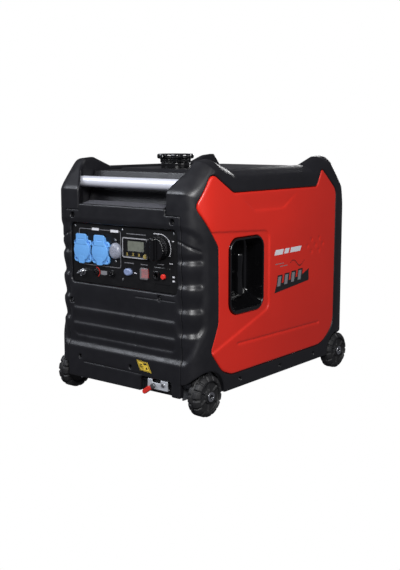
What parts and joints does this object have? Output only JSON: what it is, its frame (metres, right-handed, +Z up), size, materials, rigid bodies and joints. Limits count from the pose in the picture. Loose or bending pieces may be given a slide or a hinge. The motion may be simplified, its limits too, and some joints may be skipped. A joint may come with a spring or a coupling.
{
  "type": "inverter generator",
  "caption": "Enclosed portable inverter generator on small wheels, with a socket and switch panel, carrying bars and a recoil starter in a side recess.",
  "frame": {"origin": "on the ground under the middle of the machine", "axes": "+Z up, -Y out of the control panel, +X out of the recoil side, +Y towards the exhaust"},
  "size_m": [0.384, 0.594, 0.493],
  "materials": {
    "black_plastic": "moulded charcoal plastic, satin with a fine grain",
    "red_panel": "moulded bright red plastic, soft gloss",
    "gloss_black": "polished black plastic",
    "silver_tube": "anodised tube, satin",
    "zinc_plate": "zinc plated steel",
    "cast_alloy": "as-cast alloy",
    "steel": "plain steel",
    "copper_winding": "varnished copper windings on laminations",
    "blue_plastic": "moulded light blue plastic",
    "clear_grey_cap": "translucent grey silicone cap",
    "yellow_plastic": "moulded yellow plastic",
    "blue_grey_button": "moulded blue-grey plastic",
    "red_plastic": "moulded red plastic",
    "dark_plastic": "blow-moulded dark grey plastic",
    "wheel_rubber": "hard black rubber",
    "cord": "braided dark cord",
    "screw_steel": "bright screw heads",
    "white_print": "pale printed lines and small labels",
    "yellow_label": "printed yellow label",
    "lcd_glass": "liquid crystal display behind a clear window",
    "clear_cover": "clear flexible splash cover"
  },
  "bodies": {
    "root": {"base_tray": "black_plastic", "side_frame_right": "black_plastic", "side_frame_left": "black_plastic", "front_panel": "black_plastic", "rear_panel": "black_plastic", "exhaust_grille": "black_plastic", "top_cover": "black_plastic", "recoil_housing": "black_plastic", "air_filter_box": "black_plastic", "battery": "black_plastic", "control_plate": "black_plastic", "display_module": "black_plastic", "dc_socket": "black_plastic", "parallel_terminals": "black_plastic", "side_panel_right": "red_panel", "side_panel_left": "red_panel", "recess_dish": "gloss_black", "handle_bar_front": "silver_tube", "handle_bar_rear": "silver_tube", "front_axle_beam": "zinc_plate", "rear_axle_beam": "zinc_plate", "spark_plug": "zinc_plate", "ground_terminal": "zinc_plate", "brake_bracket": "zinc_plate", "engine_crankcase": "cast_alloy", "cylinder_head": "cast_alloy", "carburettor": "cast_alloy", "inverter_module": "cast_alloy", "front_axle": "steel", "rear_axle": "steel", "engine_cradle": "steel", "muffler": "steel", "alternator_stator": "copper_winding", "socket_body_1": "blue_plastic", "socket_body_2": "blue_plastic", "fuel_tank": "dark_plastic", "recoil_rope": "cord"},
    "wheel_front_right": {"wheel_front_right": "wheel_rubber"},
    "wheel_front_left": {"wheel_front_left": "wheel_rubber"},
    "wheel_rear_right": {"wheel_rear_right": "wheel_rubber"},
    "wheel_rear_left": {"wheel_rear_left": "wheel_rubber"},
    "fuel_cap_plug": {"fuel_cap_plug": "zinc_plate"},
    "fuel_cap_knob": {"fuel_cap_knob": "black_plastic"},
    "socket_lid_1": {"socket_lid_1": "blue_plastic"},
    "socket_lid_2": {"socket_lid_2": "blue_plastic"},
    "ac_breaker_button": {"ac_breaker_button": "clear_grey_cap"},
    "display_button": {"display_button": "yellow_plastic"},
    "start_button": {"start_button": "blue_grey_button"},
    "dc_breaker_button": {"dc_breaker_button": "red_plastic"},
    "engine_switch_knob": {"engine_switch_knob": "black_plastic"},
    "economy_rocker": {"economy_rocker": "red_plastic"},
    "brake_lever": {"brake_lever": "red_plastic"},
    "recoil_grip": {"recoil_grip": "black_plastic"},
    "recoil_pulley": {"recoil_pulley": "dark_plastic"},
    "crankshaft_group": {"crankshaft": "steel", "alternator_rotor": "steel", "cooling_fan": "dark_plastic"},
    "service_door": {"service_door": "red_panel"},
    "service_door_latch": {"service_door_latch": "black_plastic"},
    "oil_dipstick": {"oil_dipstick": "yellow_plastic"}
  },
  "joints": [
    {"name": "wheel_front_right_spin", "type": "hinge", "parent": "root", "child": "wheel_front_right", "pos_m": [0.171, -0.237, 0.0405], "axis": [1, 0, 0], "continuous": true},
    {"name": "wheel_front_left_spin", "type": "hinge", "parent": "root", "child": "wheel_front_left", "pos_m": [-0.171, -0.237, 0.0405], "axis": [1, 0, 0], "continuous": true},
    {"name": "wheel_rear_right_spin", "type": "hinge", "parent": "root", "child": "wheel_rear_right", "pos_m": [0.171, 0.244, 0.0405], "axis": [1, 0, 0], "continuous": true},
    {"name": "wheel_rear_left_spin", "type": "hinge", "parent": "root", "child": "wheel_rear_left", "pos_m": [-0.171, 0.244, 0.0405], "axis": [1, 0, 0], "continuous": true},
    {"name": "fuel_cap_lift", "type": "slide", "parent": "root", "child": "fuel_cap_plug", "axis": [0, 0, 1], "range_m": [0, 0.06]},
    {"name": "fuel_cap_turn", "type": "hinge", "parent": "fuel_cap_plug", "child": "fuel_cap_knob", "pos_m": [0, -0.111, 0.484], "axis": [0, 0, 1], "range_deg": [0, 120]},
    {"name": "socket_lid_1_hinge", "type": "hinge", "parent": "root", "child": "socket_lid_1", "pos_m": [-0.107, -0.2803, 0.333], "axis": [-1, 0, 0], "range_deg": [0, 110], "stiffness_Nm_per_rad": 0.03, "springref_deg": -22.92},
    {"name": "socket_lid_2_hinge", "type": "hinge", "parent": "root", "child": "socket_lid_2", "pos_m": [-0.057, -0.2803, 0.333], "axis": [-1, 0, 0], "range_deg": [0, 110], "stiffness_Nm_per_rad": 0.03, "springref_deg": -22.92},
    {"name": "ac_breaker_button_press", "type": "slide", "parent": "root", "child": "ac_breaker_button", "axis": [0, 1, 0], "range_m": [0, 0.003], "stiffness_N_per_m": 300, "springref_m": -0.004},
    {"name": "display_button_press", "type": "slide", "parent": "root", "child": "display_button", "axis": [0, 1, 0], "range_m": [0, 0.0015], "stiffness_N_per_m": 300, "springref_m": -0.004},
    {"name": "start_button_press", "type": "slide", "parent": "root", "child": "start_button", "axis": [0, 1, 0], "range_m": [0, 0.0025], "stiffness_N_per_m": 300, "springref_m": -0.004},
    {"name": "dc_breaker_button_press", "type": "slide", "parent": "root", "child": "dc_breaker_button", "axis": [0, 1, 0], "range_m": [0, 0.0025], "stiffness_N_per_m": 300, "springref_m": -0.004},
    {"name": "engine_switch_turn", "type": "hinge", "parent": "root", "child": "engine_switch_knob", "pos_m": [0.0945, -0.28, 0.3195], "axis": [0, 1, 0], "range_deg": [0, 115]},
    {"name": "economy_rocker_tilt", "type": "hinge", "parent": "root", "child": "economy_rocker", "pos_m": [0.057, -0.271, 0.268], "axis": [1, 0, 0], "range_deg": [0, 16]},
    {"name": "brake_lever_swing", "type": "hinge", "parent": "root", "child": "brake_lever", "pos_m": [0.084, -0.283, 0.054], "axis": [0, 1, 0], "range_deg": [0, 40]},
    {"name": "recoil_pull", "type": "slide", "parent": "root", "child": "recoil_grip", "axis": [1, 0, 0], "range_m": [0, 0.7], "stiffness_N_per_m": 15, "springref_m": -0.25},
    {"name": "recoil_pulley_spin", "type": "hinge", "parent": "root", "child": "recoil_pulley", "pos_m": [0.02, -0.116, 0.22], "axis": [0, 1, 0], "range_deg": [-5, 1010]},
    {"name": "crankshaft_spin", "type": "hinge", "parent": "root", "child": "crankshaft_group", "pos_m": [0.02, 0, 0.22], "axis": [0, 1, 0], "continuous": true},
    {"name": "service_door_hinge", "type": "hinge", "parent": "root", "child": "service_door", "pos_m": [-0.1855, 0.109, 0.252], "axis": [0, 0, -1], "range_deg": [0, 100]},
    {"name": "service_door_latch_turn", "type": "hinge", "parent": "service_door", "child": "service_door_latch", "pos_m": [-0.184, -0.046, 0.252], "axis": [-1, 0, 0], "range_deg": [0, 90]},
    {"name": "oil_dipstick_pull", "type": "slide", "parent": "root", "child": "oil_dipstick", "axis": [-1, 0, 0], "range_m": [0, 0.06]}
  ],
  "couplings": [
    {"joint": "recoil_pulley_spin", "follows": "recoil_pull", "rad_per_m": 25}
  ]
}
